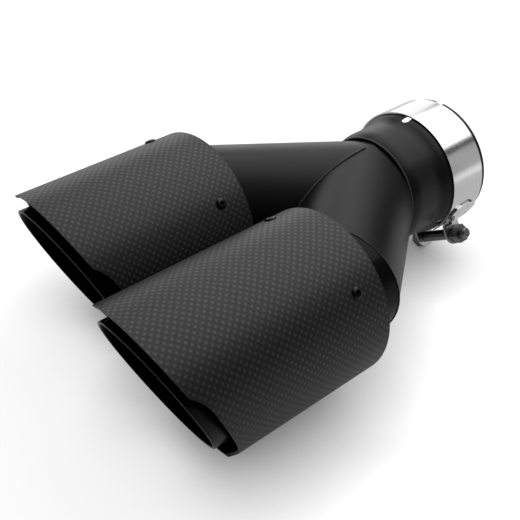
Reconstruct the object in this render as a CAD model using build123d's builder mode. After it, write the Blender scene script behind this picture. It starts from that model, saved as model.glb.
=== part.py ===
from build123d import *
import os
from math import asin, atan2, cos, degrees, radians, sin, tan

# Frame: origin at the centre of the inlet's rim, +Y out of the inlet towards the tailpipe,
# the two tips open towards -Y, +Z up, millimetres. The long tip is on the +X side.

# Inlet and collector
inlet_bore_radius = 35.5
pipe_wall = 1.5
socket_depth = 27.3
flare_length = 6.5
flare_bend = 12.0
collector_step = 2.15
collector_length = 58.8
nose_length = 7.0
nose_drop = 1.9
lip_length = 3.0
lip_overlap = 1.4
slot_width = 5.0
slot_depth = 33.3
slot_angles = (93.5, -26.5, -146.5)

# Branches
branch_radius = 31.75
junction_y = -67.7
mitre_y = -134.0

# Tips
tip_roll = 5.8
cut_angle = 25.0
tip_wall = 1.5
mouth_radius = 37.0
long_mouth_ahead = 3.4
short_mouth_ahead = 4.6
long_mouth_y = -250.7
stagger = 18.8
neck_end_y = -146.8
shoulder_length = 7.0
rivet_band_length = 18.0
taper_length = 10.0
bend_radius = 4.0
rim_round = 0.45

# Carbon sleeves
sleeve_radius = 44.5
sleeve_gap = 5.2
sleeve_wall = 1.5
sleeve_rear_y = -145.6
sleeve_seat = 0.25
recess_depth = 4.6
lobe_angle = 41.5
recess_angle = 26.0

# Rivets
rivet_y = -161.3
rivet_angles = (45.0, 128.0, 225.0, 308.0)
rivet_shank_radius = 1.6
rivet_hole_clearance = 0.05
rivet_head_radius = 3.0
rivet_head_height = 1.1
rivet_bore_radius = 1.05
rivet_tail_radius = 2.3
rivet_tail_height = 1.8
rivet_seat = 0.02

# Clamp
clamp_angle = -57.0
band_width = 25.7
band_rear_y = -3.3
band_thickness = 0.8
band_clearance = 0.2
band_gap_angle = 15.0
lug_thickness = 1.2
lug_seat = 0.05
lug_width = 24.0
lug_reach_angle = 47.0
lug_corner = 9.0
lug_bend = 2.2
ear_offset = 11.7
ear_width = 13.0
ear_neck_drop = 1.5
ear_neck_length = 6.5
ear_reach = 12.0
ear_corner = 6.0
bolt_reach = 6.2
bolt_radius = 3.0
bolt_hole_clearance = 0.3
bolt_flats = 10.0
bolt_head_height = 4.0
bolt_end_length = 4.0
nut_height = 5.0
nut_clearance = 0.1
washer_radius = 5.5
washer_thickness = 1.2

# Values that follow from the ones above
inlet_radius = inlet_bore_radius + pipe_wall
collector_radius = branch_radius + collector_step
collector_bore = collector_radius - pipe_wall
lip_bore = branch_radius - lip_overlap
branch_bore = branch_radius - pipe_wall
branch_overrun = 2 * branch_radius
flare_ease = flare_bend * abs(tan(atan2(inlet_radius - collector_radius, flare_length) / 2))
socket_end_y = -(socket_depth + flare_ease)
flare_start_y = socket_end_y - flare_length
nose_radius = collector_radius - nose_drop
nose_y = nose_length - collector_length
half_spacing = sleeve_radius + sleeve_gap / 2
branch_angle = degrees(atan2(half_spacing, junction_y - mitre_y))
sleeve_bore = sleeve_radius - sleeve_wall
band_seat_radius = sleeve_bore - sleeve_seat
tip_inside_radius = band_seat_radius - tip_wall
slope = tan(radians(cut_angle))
band_inner = inlet_radius + band_clearance
band_outer = band_inner + band_thickness
band_front_y = band_rear_y - band_width
ear_neck_height = band_outer - ear_neck_drop
ear_top = band_outer + ear_reach
bolt_height = band_outer + bolt_reach
band_mid_y = band_rear_y - band_width / 2
up = Vector(sin(radians(tip_roll)), 0, cos(radians(tip_roll)))
along_y = Vector(0, 1, 0)

os.makedirs("parts", exist_ok=True)


def ring_direction(angle):
    return Vector(cos(radians(angle)), 0, sin(radians(angle)))


def branch_direction(side):
    return Vector(side * sin(radians(branch_angle)), -cos(radians(branch_angle)), 0)


def mitre_plane(side):
    # Plane halfway between a branch and its tip, facing back towards the inlet
    return Plane(
        origin=(side * half_spacing, mitre_y, 0),
        z_dir=along_y - branch_direction(side),
    )


# Inlet collector: one tube, swaged open to slip over the tailpipe, with relief slots and a rounded front end
with BuildPart() as inlet_collector:
    with BuildSketch(Plane.XY):
        with BuildLine():
            FilletPolyline(
                (collector_radius, nose_y),
                (collector_radius, flare_start_y),
                (inlet_radius, socket_end_y),
                (inlet_radius, 0),
                radius=flare_bend,
            )
            Line((inlet_radius, 0), (inlet_bore_radius, 0))
            FilletPolyline(
                (inlet_bore_radius, 0),
                (inlet_bore_radius, socket_end_y),
                (collector_bore, flare_start_y),
                (collector_bore, -collector_length + lip_length),
                radius=flare_bend,
            )
            Polyline(
                (collector_bore, -collector_length + lip_length),
                (lip_bore, -collector_length + lip_length),
                (lip_bore, -collector_length),
                (nose_radius, -collector_length),
            )
            TangentArc((collector_radius, nose_y), (nose_radius, -collector_length), tangent=(0, -1))
        make_face()
    revolve(axis=Axis.Y)
    slot_floor = collector_bore - 6
    for slot_angle in slot_angles:
        outward = ring_direction(slot_angle)
        with BuildSketch(Plane(origin=outward * slot_floor, x_dir=along_y, z_dir=outward)):
            with Locations((-(slot_depth - slot_width / 2) / 2 + 1, 0)):
                Rectangle(slot_depth - slot_width / 2 + 2, slot_width)
            with Locations((-(slot_depth - slot_width / 2), 0)):
                Circle(slot_width / 2)
        extrude(amount=inlet_radius - slot_floor + 3, mode=Mode.SUBTRACT)
inlet_collector.part.label = "inlet_collector"
export_step(inlet_collector.part, "parts/inlet_collector.step")


# Branches: round tubes cut where they meet each other, the collector and the tip
def make_branch(side, label):
    run = branch_direction(side)
    start = Vector(0, junction_y, 0) - run * branch_overrun
    with BuildPart() as branch:
        with BuildSketch(Plane(origin=start, z_dir=run)):
            Circle(branch_radius)
            Circle(branch_bore, mode=Mode.SUBTRACT)
        extrude(amount=half_spacing / sin(radians(branch_angle)) + 2 * branch_overrun)
        split(bisect_by=Plane(origin=(0, 0, 0), z_dir=(side, 0, 0)), keep=Keep.TOP)
        split(bisect_by=Plane(origin=(0, -collector_length, 0), z_dir=(0, -1, 0)), keep=Keep.TOP)
        split(bisect_by=mitre_plane(side), keep=Keep.TOP)
    branch.part.label = label
    export_step(branch.part, "parts/" + label + ".step")


# Tip bodies: neck, shoulder, riveting band, taper and slash-cut mouth in one pressed tube
def make_tip(side, mouth_y, label):
    centre_x = side * half_spacing
    neck_mid = branch_radius - tip_wall / 2
    band_mid = band_seat_radius - tip_wall / 2
    mouth_mid = mouth_radius - tip_wall / 2
    shoulder_y = neck_end_y - shoulder_length
    taper_y = shoulder_y - rivet_band_length
    with BuildPart() as tip:
        with BuildSketch(Plane(origin=(centre_x, 0, 0))):
            with BuildLine():
                FilletPolyline(
                    (neck_mid, mitre_y + 20),
                    (neck_mid, neck_end_y),
                    (band_mid, shoulder_y),
                    (band_mid, taper_y),
                    (mouth_mid, taper_y - taper_length),
                    (mouth_mid, mouth_y - slope * mouth_radius - 10),
                    radius=bend_radius,
                )
            trace(line_width=tip_wall)
        revolve(axis=Axis((centre_x, 0, 0), (0, 1, 0)))
        split(bisect_by=mitre_plane(side), keep=Keep.BOTTOM)
        mouth_plane = Plane(origin=(centre_x, mouth_y, 0), z_dir=along_y + up * slope)
        split(bisect_by=mouth_plane, keep=Keep.TOP)
        mouth_line = Axis((0, 0, 0), tuple(mouth_plane.z_dir))
        mouth_face = tip.faces().filter_by(mouth_line).sort_by(Axis.Y)[0]
        fillet(mouth_face.edges(), radius=rim_round)
        for rivet_angle in rivet_angles:
            outward = ring_direction(rivet_angle - tip_roll)
            hole_start = Vector(centre_x, rivet_y, 0) + outward * (band_mid - 6)
            with BuildSketch(Plane(origin=hole_start, z_dir=outward)):
                Circle(rivet_shank_radius + rivet_hole_clearance)
            extrude(amount=12, mode=Mode.SUBTRACT)
    tip.part.label = label
    export_step(tip.part, "parts/" + label + ".step")


# Carbon sleeves: a slash-cut tube whose front edge steps back on both flanks in smooth S curves
def make_sleeve(side, edge_y, label):
    centre_x = side * half_spacing
    lobe_z = sleeve_radius * sin(radians(lobe_angle))
    recess_z = sleeve_radius * sin(radians(recess_angle))
    clear = sleeve_radius + 6
    front_y = edge_y - slope * clear - 6
    with BuildPart() as sleeve:
        with BuildSketch(Plane(origin=(centre_x, sleeve_rear_y, 0), z_dir=(0, -1, 0))):
            Circle(sleeve_radius)
            Circle(sleeve_bore, mode=Mode.SUBTRACT)
        extrude(amount=sleeve_rear_y - front_y - 2)
        side_view = Plane(origin=(centre_x, 0, 0), x_dir=along_y, z_dir=along_y.cross(up))
        with BuildSketch(side_view):
            with BuildLine():
                for flank in (1, -1):
                    lobe_end = (edge_y - flank * slope * lobe_z, flank * lobe_z)
                    recess_end = (edge_y - flank * slope * recess_z + recess_depth, flank * recess_z)
                    corner = (edge_y - flank * slope * clear, flank * clear)
                    TangentArc(recess_end, lobe_end, tangent=(-flank * slope, flank))
                    Line(lobe_end, corner)
                    Line(corner, (front_y, flank * clear))
                Line((front_y, clear), (front_y, -clear))
                Line(
                    (edge_y - slope * recess_z + recess_depth, recess_z),
                    (edge_y + slope * recess_z + recess_depth, -recess_z),
                )
            make_face()
        extrude(amount=sleeve_radius + 5, both=True, mode=Mode.SUBTRACT)
        for rivet_angle in rivet_angles:
            outward = ring_direction(rivet_angle - tip_roll)
            hole_start = Vector(centre_x, rivet_y, 0) + outward * (sleeve_bore - 6)
            with BuildSketch(Plane(origin=hole_start, z_dir=outward)):
                Circle(rivet_shank_radius + rivet_hole_clearance)
            extrude(amount=12, mode=Mode.SUBTRACT)
    sleeve.part.label = label
    export_step(sleeve.part, "parts/" + label + ".step")


# Rivets: four blind rivets per tip, through the sleeve and the riveting band
def make_rivets(side, label):
    centre_x = side * half_spacing
    head_seat = sleeve_radius + rivet_seat
    tail_seat = (tip_inside_radius**2 - rivet_tail_radius**2) ** 0.5 - rivet_seat
    with BuildPart() as rivets:
        for rivet_angle in rivet_angles:
            outward = ring_direction(rivet_angle - tip_roll)
            foot = Vector(centre_x, rivet_y, 0)
            with BuildSketch(Plane(origin=foot, x_dir=along_y, z_dir=along_y.cross(outward))):
                with BuildLine():
                    Polyline(
                        (rivet_bore_radius, head_seat + rivet_head_height),
                        (rivet_bore_radius, head_seat),
                        (0, head_seat),
                        (0, tail_seat - rivet_tail_height),
                        (rivet_tail_radius - 0.5, tail_seat - rivet_tail_height),
                        (rivet_tail_radius, tail_seat - rivet_tail_height + 0.6),
                        (rivet_tail_radius, tail_seat),
                        (rivet_shank_radius, tail_seat),
                        (rivet_shank_radius, head_seat),
                        (rivet_head_radius, head_seat),
                        (rivet_head_radius, head_seat + 0.35),
                    )
                    ThreePointArc(
                        (rivet_head_radius, head_seat + 0.35),
                        (rivet_head_radius * 0.72, head_seat + rivet_head_height * 0.86),
                        (rivet_bore_radius, head_seat + rivet_head_height),
                    )
                make_face()
            revolve(axis=Axis(tuple(foot), tuple(outward)))
    rivets.part.label = label
    export_step(rivets.part, "parts/" + label + ".step")


short_mouth_y = long_mouth_y + stagger
make_branch(1, "branch_right")
make_branch(-1, "branch_left")
make_tip(1, long_mouth_y, "tip_body_right")
make_tip(-1, short_mouth_y, "tip_body_left")
make_sleeve(1, long_mouth_y + long_mouth_ahead, "carbon_sleeve_right")
make_sleeve(-1, short_mouth_y + short_mouth_ahead, "carbon_sleeve_left")
make_rivets(1, "rivets_right")
make_rivets(-1, "rivets_left")

# Clamp: local x runs round the pipe at the bolt, local y points outwards, extrusion runs along +Y
clamp_out = ring_direction(clamp_angle)
clamp_along = Vector(-sin(radians(clamp_angle)), 0, cos(radians(clamp_angle)))
clamp_plane = Plane(origin=(0, band_front_y, 0), x_dir=clamp_along, z_dir=along_y)

with BuildPart() as clamp_band:
    with BuildSketch(clamp_plane):
        Circle(band_outer)
        Circle(band_inner, mode=Mode.SUBTRACT)
        gap_half = (band_outer + 4) * tan(radians(band_gap_angle))
        with BuildLine(mode=Mode.PRIVATE) as gap_line:
            Polyline(
                (0, 0),
                (gap_half, band_outer + 4),
                (-gap_half, band_outer + 4),
                close=True,
            )
        make_face(gap_line.edges(), mode=Mode.SUBTRACT)
    extrude(amount=band_width)
clamp_band.part.label = "clamp_band"
export_step(clamp_band.part, "parts/clamp_band.step")


# Clamp lugs: straps lying on the band, bent outwards into rounded ears for the bolt
def make_lug(side, label):
    strap_mid = band_outer + lug_seat + lug_thickness / 2
    ear_foot_angle = degrees(asin(ear_offset / strap_mid))
    foot = (side * ear_offset, strap_mid * cos(radians(ear_foot_angle)))
    reach = radians(lug_reach_angle)
    between = radians((lug_reach_angle + ear_foot_angle) / 2)
    lug_front_y = band_mid_y - lug_width / 2
    with BuildPart() as lug:
        with BuildSketch(Plane(origin=(0, lug_front_y, 0), x_dir=clamp_along, z_dir=along_y)):
            with BuildLine() as strap:
                ThreePointArc(
                    (side * strap_mid * sin(reach), strap_mid * cos(reach)),
                    (side * strap_mid * sin(between), strap_mid * cos(between)),
                    foot,
                )
                Line(foot, (side * ear_offset, ear_top))
                fillet(strap.vertices().sort_by_distance(strap.edges()[1] @ 0)[0], radius=lug_bend)
            trace(line_width=lug_thickness)
        extrude(amount=lug_width)
        strap_end = clamp_along * (side * cos(reach)) - clamp_out * sin(reach)
        end_line = Axis((0, 0, 0), tuple(strap_end))
        end_face = lug.faces().filter_by(end_line).sort_by(end_line)[-1]
        end_edges = [e for e in end_face.edges() if e.length < 2 * lug_thickness]
        fillet(end_edges, radius=lug_corner)
        ear_plane = Plane(
            origin=clamp_along * (side * ear_offset) + Vector(0, band_mid_y, 0),
            x_dir=along_y,
            z_dir=-clamp_along,
        )
        with BuildSketch(ear_plane):
            for flank in (1, -1):
                with BuildLine(mode=Mode.PRIVATE) as corner:
                    Polyline(
                        (flank * (lug_width / 2 + 1), ear_neck_height - ear_neck_length),
                        (flank * ear_width / 2, ear_neck_height),
                        (flank * ear_width / 2, ear_top + 2),
                        (flank * (lug_width / 2 + 1), ear_top + 2),
                        close=True,
                    )
                make_face(corner.edges())
        extrude(amount=ear_offset + 4, both=True, mode=Mode.SUBTRACT)
        with BuildSketch(ear_plane):
            with Locations((0, bolt_height)):
                Circle(bolt_radius + bolt_hole_clearance)
        extrude(amount=3, both=True, mode=Mode.SUBTRACT)
        ear_edges = lug.edges().filter_by(Axis((0, 0, 0), tuple(clamp_along)))
        fillet(ear_edges.sort_by(Axis((0, 0, 0), tuple(clamp_out)))[-2:], radius=ear_corner)
    lug.part.label = label
    export_step(lug.part, "parts/" + label + ".step")


make_lug(1, "clamp_lug_right")
make_lug(-1, "clamp_lug_left")

# Bolt, nut and washers lie on one line through both ears
bolt_centre = clamp_out * bolt_height + Vector(0, band_mid_y, 0)
ear_face = ear_offset + lug_thickness / 2
head_seat_at = ear_face + washer_thickness
hex_radius = bolt_flats / 2 / cos(radians(30))


def bolt_line_plane(distance):
    return Plane(origin=bolt_centre + clamp_along * distance, x_dir=along_y, z_dir=clamp_along)


with BuildPart() as clamp_bolt:
    with BuildSketch(bolt_line_plane(-head_seat_at - bolt_head_height)):
        RegularPolygon(radius=hex_radius, side_count=6)
    extrude(amount=bolt_head_height)
    with BuildSketch(bolt_line_plane(-head_seat_at)):
        Circle(bolt_radius)
    extrude(amount=2 * head_seat_at + nut_height + bolt_end_length)
    tip_end = clamp_bolt.faces().sort_by(Axis((0, 0, 0), tuple(clamp_along)))[-1]
    chamfer(tip_end.edges(), length=0.6)
clamp_bolt.part.label = "clamp_bolt"
export_step(clamp_bolt.part, "parts/clamp_bolt.step")

with BuildPart() as clamp_nut:
    with BuildSketch(bolt_line_plane(head_seat_at)):
        RegularPolygon(radius=hex_radius, side_count=6)
        Circle(bolt_radius + nut_clearance, mode=Mode.SUBTRACT)
    extrude(amount=nut_height)
clamp_nut.part.label = "clamp_nut"
export_step(clamp_nut.part, "parts/clamp_nut.step")

with BuildPart() as clamp_washers:
    for washer_at in (ear_face, -ear_face - washer_thickness):
        with BuildSketch(bolt_line_plane(washer_at)):
            Circle(washer_radius)
            Circle(bolt_radius + bolt_hole_clearance, mode=Mode.SUBTRACT)
        extrude(amount=washer_thickness)
clamp_washers.part.label = "clamp_washers"
export_step(clamp_washers.part, "parts/clamp_washers.step")
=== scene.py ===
# %% [markdown]
# # A twin exhaust tip with carbon sleeves
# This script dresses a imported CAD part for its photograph. The CAD gives every solid its place and size.
# Here each solid gets a procedural material, and the small things that CAD leaves out are added:
# weld beads along the seams, threads on the clamp bolt and spot welds on the clamp.
# Everything is in metres, in the CAD's own frame.

# %% Load the part
import math

import bmesh
import bpy
from mathutils import Matrix, Vector


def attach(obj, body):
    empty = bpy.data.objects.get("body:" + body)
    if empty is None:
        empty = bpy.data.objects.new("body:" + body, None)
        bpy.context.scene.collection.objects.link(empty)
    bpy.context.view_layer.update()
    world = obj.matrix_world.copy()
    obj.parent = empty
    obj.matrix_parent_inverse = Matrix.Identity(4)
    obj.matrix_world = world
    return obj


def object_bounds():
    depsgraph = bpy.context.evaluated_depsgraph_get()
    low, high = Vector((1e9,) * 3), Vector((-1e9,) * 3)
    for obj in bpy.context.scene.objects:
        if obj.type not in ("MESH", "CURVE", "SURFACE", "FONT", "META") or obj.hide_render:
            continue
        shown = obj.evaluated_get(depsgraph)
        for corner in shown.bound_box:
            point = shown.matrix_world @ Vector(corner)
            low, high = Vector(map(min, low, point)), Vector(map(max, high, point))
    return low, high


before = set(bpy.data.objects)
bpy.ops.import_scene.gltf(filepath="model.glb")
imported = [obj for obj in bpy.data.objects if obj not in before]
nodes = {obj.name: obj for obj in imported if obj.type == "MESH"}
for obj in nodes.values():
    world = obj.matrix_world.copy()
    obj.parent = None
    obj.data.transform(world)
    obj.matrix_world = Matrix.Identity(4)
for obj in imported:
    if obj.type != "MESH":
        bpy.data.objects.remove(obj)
first_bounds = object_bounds()
print("nodes", sorted(nodes))

# %% [markdown]
# ## Measures
# The numbers below repeat the CAD's main sizes in metres, so that beads and threads land on the seams.
# The two outlets sit side by side along X. The branches cross at the junction and bend to each outlet.
# CLAMP_OUT points from the inlet's middle line to the clamp bolt, and CLAMP_ALONG runs along that bolt.

# %% Measures
HALF_SPACING = 0.0471
SLEEVE_RADIUS = 0.0445
JUNCTION_Y = -0.0677
MITRE_Y = -0.1340
BRANCH_RADIUS = 0.03175
BRANCH_ANGLE = math.atan2(HALF_SPACING, JUNCTION_Y - MITRE_Y)
COLLECTOR_FRONT_Y = -0.0588
COLLECTOR_BEAD_RADIUS = 0.0318
CLAMP_ANGLE = math.radians(-57.0)
CLAMP_OUT = Vector((math.cos(CLAMP_ANGLE), 0, math.sin(CLAMP_ANGLE)))
CLAMP_ALONG = Vector((-math.sin(CLAMP_ANGLE), 0, math.cos(CLAMP_ANGLE)))
BAND_MID_Y = -0.01615
BAND_OUTER = 0.038
STRAP_GAP = 0.00005
STRAP_THICKNESS = 0.0012
BOLT_OUT = 0.0442
BOLT_RADIUS = 0.0030
BOLT_PITCH = 0.0010
print("branch angle", round(math.degrees(BRANCH_ANGLE), 2))

# %% [markdown]
# ## A short way to write shader nodes
# A material is a small graph. These helpers add one node each, set the inputs that are plain values
# and return what the next step needs, so that each material below reads as a list of steps.

# %% Shader helpers


def new_material(name):
    material = bpy.data.materials.new(name)
    material.use_nodes = True
    tree = material.node_tree
    shader = tree.nodes["Principled BSDF"]
    return material, tree, shader


def add(tree, kind, values=None, **settings):
    node = tree.nodes.new(kind)
    for key, value in settings.items():
        setattr(node, key, value)
    for key, value in (values or {}).items():
        node.inputs[key].default_value = value
    return node


def maths(tree, operation, first, second=None):
    node = tree.nodes.new("ShaderNodeMath")
    node.operation = operation
    for slot, value in zip(node.inputs, (first, second)):
        if value is None:
            continue
        if isinstance(value, (int, float)):
            slot.default_value = value
        else:
            tree.links.new(value, slot)
    return node.outputs[0]


def ramp(tree, source, stops):
    node = tree.nodes.new("ShaderNodeValToRGB")
    while len(node.color_ramp.elements) < len(stops):
        node.color_ramp.elements.new(0.5)
    for element, (place, grey) in zip(node.color_ramp.elements, stops):
        element.position = place
        element.color = (grey, grey, grey, 1)
    tree.links.new(source, node.inputs["Fac"])
    return node.outputs["Color"]


print("helpers ready")

# %% [markdown]
# ## Woven carbon
# Each sleeve is a cylinder, so the weave is drawn in two directions: round the sleeve and along it.
# The angle round the sleeve comes from the object's own coordinates, turned into an arc length.
# In a plain weave the tows pass over and under each other in turn, which is the product of two waves.
# Each tow is also rounded, which adds a finer wave in each direction. The sum drives colour, gloss and height.

# %% Carbon material
TOW = 0.00202
WEAVE_DRIFT = 0.7
CROSSING_HEIGHT = 0.34
TOW_ROUNDING = 0.08
FIBRE_GRAIN = 0.22
CARBON_SHADES = ((0.15, 0.008), (0.55, 0.018), (0.90, 0.060))
CARBON_ROUGHNESS = ((0.2, 0.52), (0.9, 0.40))


def carbon_material(name, centre_x):
    material, tree, shader = new_material(name)
    link = tree.links.new
    place = add(tree, "ShaderNodeTexCoord")
    split = add(tree, "ShaderNodeSeparateXYZ")
    link(place.outputs["Object"], split.inputs[0])
    across = maths(tree, "SUBTRACT", split.outputs["X"], centre_x)
    angle = maths(tree, "ARCTAN2", split.outputs["Z"], across)
    wander = add(tree, "ShaderNodeTexNoise", {"Scale": 70.0, "Detail": 1.0})
    link(place.outputs["Object"], wander.inputs["Vector"])
    uneven = maths(tree, "SUBTRACT", wander.outputs["Fac"], 0.5)
    drift = maths(tree, "MULTIPLY", uneven, WEAVE_DRIFT)
    arc = maths(tree, "MULTIPLY", angle, SLEEVE_RADIUS * math.pi / TOW)
    length = maths(tree, "MULTIPLY", split.outputs["Y"], math.pi / TOW)
    u = maths(tree, "ADD", arc, drift)
    v = maths(tree, "ADD", length, drift)
    over = maths(tree, "MULTIPLY", maths(tree, "COSINE", u), maths(tree, "COSINE", v))
    round_u = maths(tree, "COSINE", maths(tree, "MULTIPLY", u, 2.0))
    round_v = maths(tree, "COSINE", maths(tree, "MULTIPLY", v, 2.0))
    rounding = maths(tree, "MULTIPLY", maths(tree, "ADD", round_u, round_v), TOW_ROUNDING)
    fibre = add(tree, "ShaderNodeTexNoise", {"Scale": 1500.0, "Detail": 2.0, "Roughness": 0.6})
    link(place.outputs["Object"], fibre.inputs["Vector"])
    speckle = maths(tree, "SUBTRACT", fibre.outputs["Fac"], 0.5)
    grain = maths(tree, "MULTIPLY", speckle, FIBRE_GRAIN)
    cloth = maths(tree, "ADD", maths(tree, "MULTIPLY", over, CROSSING_HEIGHT), rounding)
    shade = maths(tree, "ADD", maths(tree, "ADD", cloth, grain), 0.5)
    link(ramp(tree, shade, CARBON_SHADES), shader.inputs["Base Color"])
    link(ramp(tree, shade, CARBON_ROUGHNESS), shader.inputs["Roughness"])
    bump = add(tree, "ShaderNodeBump", {"Strength": 0.25, "Distance": 0.0002})
    link(shade, bump.inputs["Height"])
    link(bump.outputs["Normal"], shader.inputs["Normal"])
    shader.inputs["Specular IOR Level"].default_value = 0.38
    return material


carbon = {
    "carbon_sleeve_right": carbon_material("Carbon right", HALF_SPACING),
    "carbon_sleeve_left": carbon_material("Carbon left", -HALF_SPACING),
}
print("carbon", len(carbon))

# %% [markdown]
# ## Coated steel, stainless steel and fasteners
# The pipe has a satin black coat with a fine orange-peel texture and slow changes of gloss.
# The tips are glossier. The clamp is polished stainless steel with faint brush lines round the band.
# The bolt, nut and washers are darker plated steel, and the rivets are black.

# %% Metal materials


def coated(name, grey, rough_low, rough_high, peel, level):
    material, tree, shader = new_material(name)
    link = tree.links.new
    place = add(tree, "ShaderNodeTexCoord")
    slow = add(tree, "ShaderNodeTexNoise", {"Scale": 28.0, "Detail": 3.0})
    fine = add(tree, "ShaderNodeTexNoise", {"Scale": 1300.0, "Detail": 2.0})
    link(place.outputs["Object"], slow.inputs["Vector"])
    link(place.outputs["Object"], fine.inputs["Vector"])
    colour = ramp(tree, slow.outputs["Fac"], ((0.3, grey * 0.85), (0.7, grey * 1.2)))
    rough = ramp(tree, slow.outputs["Fac"], ((0.3, rough_low), (0.7, rough_high)))
    link(colour, shader.inputs["Base Color"])
    link(rough, shader.inputs["Roughness"])
    bump = add(tree, "ShaderNodeBump", {"Strength": peel, "Distance": 0.0001})
    link(fine.outputs["Fac"], bump.inputs["Height"])
    link(bump.outputs["Normal"], shader.inputs["Normal"])
    shader.inputs["Specular IOR Level"].default_value = level
    return material


def steel(name, grey, rough_low, rough_high, lines):
    material, tree, shader = new_material(name)
    link = tree.links.new
    place = add(tree, "ShaderNodeTexCoord")
    stretch = add(tree, "ShaderNodeMapping", {"Scale": (60.0, 2200.0, 60.0)})
    brush = add(tree, "ShaderNodeTexNoise", {"Scale": 1.0, "Detail": 3.0})
    link(place.outputs["Object"], stretch.inputs["Vector"])
    link(stretch.outputs["Vector"], brush.inputs["Vector"])
    colour = ramp(tree, brush.outputs["Fac"], ((0.3, grey * 0.92), (0.7, grey)))
    rough = ramp(tree, brush.outputs["Fac"], ((0.3, rough_low), (0.7, rough_high)))
    link(colour, shader.inputs["Base Color"])
    link(rough, shader.inputs["Roughness"])
    bump = add(tree, "ShaderNodeBump", {"Strength": lines, "Distance": 0.00005})
    link(brush.outputs["Fac"], bump.inputs["Height"])
    link(bump.outputs["Normal"], shader.inputs["Normal"])
    shader.inputs["Metallic"].default_value = 1.0
    return material


black_coat = coated("Satin black coat", 0.008, 0.34, 0.42, 0.12, 0.21)
gloss_black = coated("Gloss black coat", 0.006, 0.22, 0.30, 0.05, 0.09)
rivet_black = coated("Black rivet", 0.006, 0.22, 0.32, 0.05, 0.3)
bead_coat = coated("Coated weld", 0.012, 0.30, 0.38, 0.1, 0.45)
stainless = steel("Polished stainless", 0.66, 0.14, 0.22, 0.04)
plated = steel("Plated steel", 0.22, 0.28, 0.40, 0.08)
looks = {
    "inlet_collector": black_coat,
    "branch_right": black_coat,
    "branch_left": black_coat,
    "tip_body_right": gloss_black,
    "tip_body_left": gloss_black,
    "rivets_right": rivet_black,
    "rivets_left": rivet_black,
    "clamp_band": stainless,
    "clamp_lug_right": stainless,
    "clamp_lug_left": stainless,
    "clamp_bolt": plated,
    "clamp_nut": plated,
    "clamp_washers": plated,
}
looks.update(carbon)
for name, material in looks.items():
    mesh = nodes[name].data
    mesh.materials.clear()
    mesh.materials.append(material)
print("materials set on", len(looks), "nodes")

# %% [markdown]
# ## Weld beads
# A bead is a row of flat ripples laid along a seam. A Geometry Nodes group resamples the seam at an even
# step, sets one flattened drop on each point, turns it along the seam and joins them all into one mesh.
# The step and the drop's size are named inputs, so one group makes every bead.

# %% Bead group


def bead_group():
    tree = bpy.data.node_groups.new("Weld bead", "GeometryNodeTree")
    face = tree.interface
    face.new_socket("Geometry", in_out="INPUT", socket_type="NodeSocketGeometry")
    face.new_socket("Step", in_out="INPUT", socket_type="NodeSocketFloat")
    face.new_socket("Drop radius", in_out="INPUT", socket_type="NodeSocketFloat")
    face.new_socket("Material", in_out="INPUT", socket_type="NodeSocketMaterial")
    face.new_socket("Geometry", in_out="OUTPUT", socket_type="NodeSocketGeometry")
    link = tree.links.new
    start = tree.nodes.new("NodeGroupInput")
    end = tree.nodes.new("NodeGroupOutput")
    curve = tree.nodes.new("GeometryNodeMeshToCurve")
    even = tree.nodes.new("GeometryNodeResampleCurve")
    even.mode = "LENGTH"
    drop = tree.nodes.new("GeometryNodeMeshIcoSphere")
    drop.inputs["Subdivisions"].default_value = 2
    flat = tree.nodes.new("GeometryNodeTransform")
    flat.inputs["Scale"].default_value = (0.6, 0.85, 0.85)
    smooth = tree.nodes.new("GeometryNodeSetShadeSmooth")
    along = tree.nodes.new("GeometryNodeInputTangent")
    turn = tree.nodes.new("FunctionNodeAlignRotationToVector")
    turn.axis = "X"
    place = tree.nodes.new("GeometryNodeInstanceOnPoints")
    chance = tree.nodes.new("FunctionNodeRandomValue")
    chance.inputs["Min"].default_value = 0.88
    chance.inputs["Max"].default_value = 1.10
    chance.inputs["Seed"].default_value = 7
    real = tree.nodes.new("GeometryNodeRealizeInstances")
    paint = tree.nodes.new("GeometryNodeSetMaterial")
    link(start.outputs["Geometry"], curve.inputs["Mesh"])
    link(curve.outputs["Curve"], even.inputs["Curve"])
    link(start.outputs["Step"], even.inputs["Length"])
    link(start.outputs["Drop radius"], drop.inputs["Radius"])
    link(drop.outputs["Mesh"], flat.inputs["Geometry"])
    link(flat.outputs["Geometry"], smooth.inputs["Geometry"])
    link(along.outputs["Tangent"], turn.inputs["Vector"])
    link(even.outputs["Curve"], place.inputs["Points"])
    link(smooth.outputs["Geometry"], place.inputs["Instance"])
    link(turn.outputs["Rotation"], place.inputs["Rotation"])
    link(chance.outputs["Value"], place.inputs["Scale"])
    link(place.outputs["Instances"], real.inputs["Geometry"])
    link(real.outputs["Geometry"], paint.inputs["Geometry"])
    link(start.outputs["Material"], paint.inputs["Material"])
    link(paint.outputs["Geometry"], end.inputs["Geometry"])
    return tree


def line_mesh(name, points, closed):
    mesh = bpy.data.meshes.new(name)
    count = len(points)
    edges = [(i, i + 1) for i in range(count - 1)]
    if closed:
        edges.append((count - 1, 0))
    mesh.from_pydata([tuple(p) for p in points], edges, [])
    return mesh


def settle(name, source, group, inputs):
    carrier = bpy.data.objects.new(name + " path", source)
    bpy.context.scene.collection.objects.link(carrier)
    modifier = carrier.modifiers.new("Nodes", "NODES")
    modifier.node_group = group
    for item in group.interface.items_tree:
        if item.in_out == "INPUT" and item.name in inputs:
            modifier[item.identifier] = inputs[item.name]
    shown = carrier.evaluated_get(bpy.context.evaluated_depsgraph_get())
    mesh = bpy.data.meshes.new_from_object(shown)
    bpy.data.objects.remove(carrier)
    piece = bpy.data.objects.new(name, mesh)
    bpy.context.scene.collection.objects.link(piece)
    return piece


bead = bead_group()
print("bead group inputs", [i.name for i in bead.interface.items_tree if i.in_out == "INPUT"])

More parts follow.
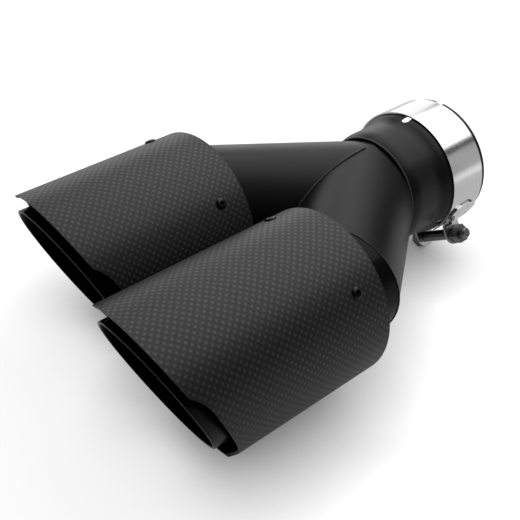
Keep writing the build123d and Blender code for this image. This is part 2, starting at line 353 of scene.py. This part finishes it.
# %% [markdown]
# ## Where the seams run
# The two branches meet in the plane x = 0, on an arc of an ellipse. Each branch meets its tip on a slanted
# ellipse, where both tubes are cut at half the angle between them. The collector's end is a plain circle.

# %% Lay the beads
BEAD_STEP = 0.0005
RING_DEGREES = 3
CROTCH_CLEARANCE = 0.001


def crotch_path():
    # Points where the branch surface crosses x = 0, from the collector's end round the front
    points = []
    reach = BRANCH_RADIUS / math.sin(BRANCH_ANGLE)
    for step in range(0, 181):
        turn = math.radians(step)
        y = JUNCTION_Y - reach * math.sin(turn)
        z = BRANCH_RADIUS * math.cos(turn)
        if y < COLLECTOR_FRONT_Y - CROTCH_CLEARANCE:
            points.append(Vector((0, y, z)))
    return points


def mitre_path(side):
    half = BRANCH_ANGLE / 2
    points = []
    for step in range(0, 360, RING_DEGREES):
        turn = math.radians(step)
        x = BRANCH_RADIUS * math.cos(turn)
        z = BRANCH_RADIUS * math.sin(turn)
        points.append(Vector((side * (HALF_SPACING + x), MITRE_Y + x * math.tan(half), z)))
    return points


def collector_path():
    points = []
    for step in range(0, 360, RING_DEGREES):
        turn = math.radians(step)
        x = COLLECTOR_BEAD_RADIUS * math.cos(turn)
        z = COLLECTOR_BEAD_RADIUS * math.sin(turn)
        points.append(Vector((x, COLLECTOR_FRONT_Y, z)))
    return points


seams = (
    ("weld_crotch", crotch_path(), False, 0.0011),
    ("weld_mitre_right", mitre_path(1), True, 0.0005),
    ("weld_mitre_left", mitre_path(-1), True, 0.0005),
    ("weld_collector", collector_path(), True, 0.0012),
)
for name, path, closed, radius in seams:
    inputs = {"Step": BEAD_STEP, "Drop radius": radius, "Material": bead_coat}
    piece = settle(name, line_mesh(name, path, closed), bead, inputs)
    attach(piece, "root")
    print(name, "faces", len(piece.data.polygons))

# %% [markdown]
# ## Bolt thread and spot welds
# The thread is a triangular ridge that winds round the bolt's shank.
# Spot welds are shallow discs, four on each strap of the clamp, where it is joined to the band.

# %% Thread and spot welds
THREAD_STEPS = 28
THREAD_DEPTH = 0.00025
RIDGE_FOOT = (0.42 * BOLT_PITCH, -0.00005)
SPOT_STEPS = 20
SPOT_PLACES = ((32, -0.0055), (32, 0.0055), (41, -0.0045), (41, 0.0045))
SPOT_RINGS = ((0.0016, 0.00002), (0.0012, 0.00022), (0.0007, 0.00012))


def piece_from(work, name, material):
    bmesh.ops.recalc_face_normals(work, faces=work.faces)
    mesh = bpy.data.meshes.new(name)
    work.to_mesh(mesh)
    work.free()
    mesh.materials.append(material)
    piece = bpy.data.objects.new(name, mesh)
    bpy.context.scene.collection.objects.link(piece)
    return piece


def thread_piece(name, start_at, end_at):
    # A triangular ridge that winds round the bolt's line
    centre = CLAMP_OUT * BOLT_OUT + Vector((0, BAND_MID_Y, 0))
    side = Vector((0, 1, 0))
    foot_shift, foot_lift = RIDGE_FOOT
    profile = ((-foot_shift, foot_lift), (0, THREAD_DEPTH), (foot_shift, foot_lift))
    work = bmesh.new()
    total = int((end_at - start_at) / BOLT_PITCH * THREAD_STEPS)
    rows = []
    for step in range(total + 1):
        turn = 2 * math.pi * step / THREAD_STEPS
        along = start_at + BOLT_PITCH * step / THREAD_STEPS
        out = CLAMP_OUT * math.cos(turn) + side * math.sin(turn)
        foot = centre + CLAMP_ALONG * along
        ring = []
        for shift, lift in profile:
            ring.append(work.verts.new(foot + CLAMP_ALONG * shift + out * (BOLT_RADIUS + lift)))
        rows.append(ring)
    for a, b in zip(rows, rows[1:]):
        work.faces.new((a[0], a[1], b[1], b[0]))
        work.faces.new((a[1], a[2], b[2], b[1]))
    return piece_from(work, name, plated)


def spot_welds(name, side):
    work = bmesh.new()
    strap_top = BAND_OUTER + STRAP_GAP + STRAP_THICKNESS
    for angle, y in SPOT_PLACES:
        turn = CLAMP_ANGLE + side * math.radians(angle)
        out = Vector((math.cos(turn), 0, math.sin(turn)))
        round_way = Vector((-math.sin(turn), 0, math.cos(turn)))
        centre = out * strap_top + Vector((0, BAND_MID_Y + y, 0))
        rings = []
        for radius, lift in SPOT_RINGS:
            ring = []
            for step in range(SPOT_STEPS):
                a = 2 * math.pi * step / SPOT_STEPS
                across = radius * math.cos(a)
                # The disc follows the strap's curve
                drop = across ** 2 / (2 * strap_top)
                point = centre + round_way * across + Vector((0, radius * math.sin(a), 0))
                ring.append(work.verts.new(point + out * (lift - drop)))
            rings.append(ring)
        for low, high in zip(rings, rings[1:]):
            for i in range(SPOT_STEPS):
                j = (i + 1) % SPOT_STEPS
                work.faces.new((low[i], low[j], high[j], high[i]))
        work.faces.new(rings[-1])
    for part in work.faces:
        part.smooth = True
    return piece_from(work, name, stainless)


thread_middle = thread_piece("bolt_thread", -0.0100, 0.0100)
thread_end = thread_piece("bolt_thread_end", 0.0192, 0.0215)
for piece in (thread_middle, thread_end):
    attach(piece, "root")
for side, name in ((1, "spot_welds_right"), (-1, "spot_welds_left")):
    piece = spot_welds(name, side)
    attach(piece, "root")
print("thread and spot welds added")

# %% [markdown]
# ## Studio
# The floor is a wide pale sheet just under the part. To the camera it also glows, and the glow is darkened
# where the part stands close to it, a painted contact shadow, so it reads as white and takes this painted
# shadow besides the soft shadow of the lamps. In reflections the glow, painted shadow included, has half its
# strength, and to scattered light the floor is darker, which keeps the undersides deep.
# A wide softbox hangs above the part and behind it. Its edge, mirrored in the tubes, draws the line between
# their bright tops and dark flanks. A lamp on the left lights the far sides, and a small card lights the clamp.

# %% Floor, world and lights
FLOOR_HALF = 40
PAINTED_SHADOW_REACH = 0.045
GLOW_STRENGTH = 0.88
MIRRORED_SHARE = 0.5
WORLD_STRENGTH = 0.06
low_z = min(first_bounds[0][2], first_bounds[1][2])
floor_mesh = bpy.data.meshes.new("floor")
corners = [(x * FLOOR_HALF, y * FLOOR_HALF, low_z) for x, y in ((-1, -1), (1, -1), (1, 1), (-1, 1))]
floor_mesh.from_pydata(corners, [], [(0, 1, 2, 3)])
floor = bpy.data.objects.new("floor", floor_mesh)
bpy.context.scene.collection.objects.link(floor)
pale, pale_tree, pale_shader = new_material("Pale floor")
pale_shader.inputs["Base Color"].default_value = (0.25, 0.25, 0.25, 1)
pale_shader.inputs["Roughness"].default_value = 0.9
pale_shader.inputs["Specular IOR Level"].default_value = 0.0
shown = add(pale_tree, "ShaderNodeBsdfDiffuse", {"Color": (0.30, 0.30, 0.30, 1)})
# Ambient occlusion darkens the floor's glow close to the part: a painted contact shadow, which the tubes also
# mirror
painted_shadow = add(pale_tree, "ShaderNodeAmbientOcclusion", {"Distance": PAINTED_SHADOW_REACH})
glow = add(pale_tree, "ShaderNodeEmission", {"Strength": GLOW_STRENGTH})
pale_tree.links.new(painted_shadow.outputs["Color"], glow.inputs["Color"])
both = add(pale_tree, "ShaderNodeAddShader")
rays = add(pale_tree, "ShaderNodeLightPath")
mirrored = maths(pale_tree, "MULTIPLY", rays.outputs["Is Glossy Ray"], MIRRORED_SHARE)
seen = maths(pale_tree, "MAXIMUM", rays.outputs["Is Camera Ray"], mirrored)
seen = maths(pale_tree, "MAXIMUM", seen, rays.outputs["Is Transmission Ray"])
choose = add(pale_tree, "ShaderNodeMixShader")
pale_tree.links.new(shown.outputs[0], both.inputs[0])
pale_tree.links.new(glow.outputs[0], both.inputs[1])
pale_tree.links.new(seen, choose.inputs["Fac"])
pale_tree.links.new(pale_shader.outputs[0], choose.inputs[1])
pale_tree.links.new(both.outputs[0], choose.inputs[2])
pale_tree.links.new(choose.outputs[0], pale_tree.nodes["Material Output"].inputs["Surface"])
floor_mesh.materials.append(pale)

world = bpy.data.worlds.new("Studio")
bpy.context.scene.world = world
world.use_nodes = True
sky = world.node_tree.nodes["Background"]
sky.inputs["Color"].default_value = (1, 1, 1, 1)
sky.inputs["Strength"].default_value = WORLD_STRENGTH


def area_light(name, place, aim, size, power):
    data = bpy.data.lights.new(name, "AREA")
    data.shape = "RECTANGLE"
    data.size = size[0]
    data.size_y = size[1]
    data.energy = power
    lamp = bpy.data.objects.new(name, data)
    lamp.location = place
    lamp.rotation_euler = (Vector(aim) - Vector(place)).to_track_quat("-Z", "Y").to_euler()
    bpy.context.scene.collection.objects.link(lamp)
    lamp.visible_camera = False
    return lamp


area_light("softbox", (-0.10, 0.50, 0.75), (-0.10, 0.50, 0), (1.4, 1.2), 11.0)
area_light("left wing", (-0.95, 0.45, 0.24), (0, -0.14, 0), (1.0, 0.7), 3.2)
area_light("clamp card", (0.217, 0.203, 0.06), (0.03, -0.016, 0.02), (0.08, 0.20), 0.025)
print("floor at", round(low_z, 4))

# %% [markdown]
# ## Camera
# The camera's place and turn were worked out from the photograph: the sleeves' rims, the rivets and the
# clamp fix where it stood. Its matrix is built from the directions to the right, up and back.

# %% Camera
camera_data = bpy.data.cameras.new("Camera")
camera_data.lens = 69.10
camera_data.sensor_width = 36.0
camera = bpy.data.objects.new("Camera", camera_data)
right = Vector((0.67851, 0.73337, 0.04203)).normalized()
back = Vector((0.57017, -0.56188, 0.59932)).normalized()
up = back.cross(right).normalized()
turn = Matrix((right, up, back)).transposed()
camera.matrix_world = Matrix.Translation((0.30336, -0.44282, 0.31010)) @ turn.to_4x4()
bpy.context.scene.collection.objects.link(camera)
bpy.context.scene.camera = camera
bpy.context.scene.view_settings.view_transform = "Standard"
print("camera at", [round(c, 4) for c in camera.location])
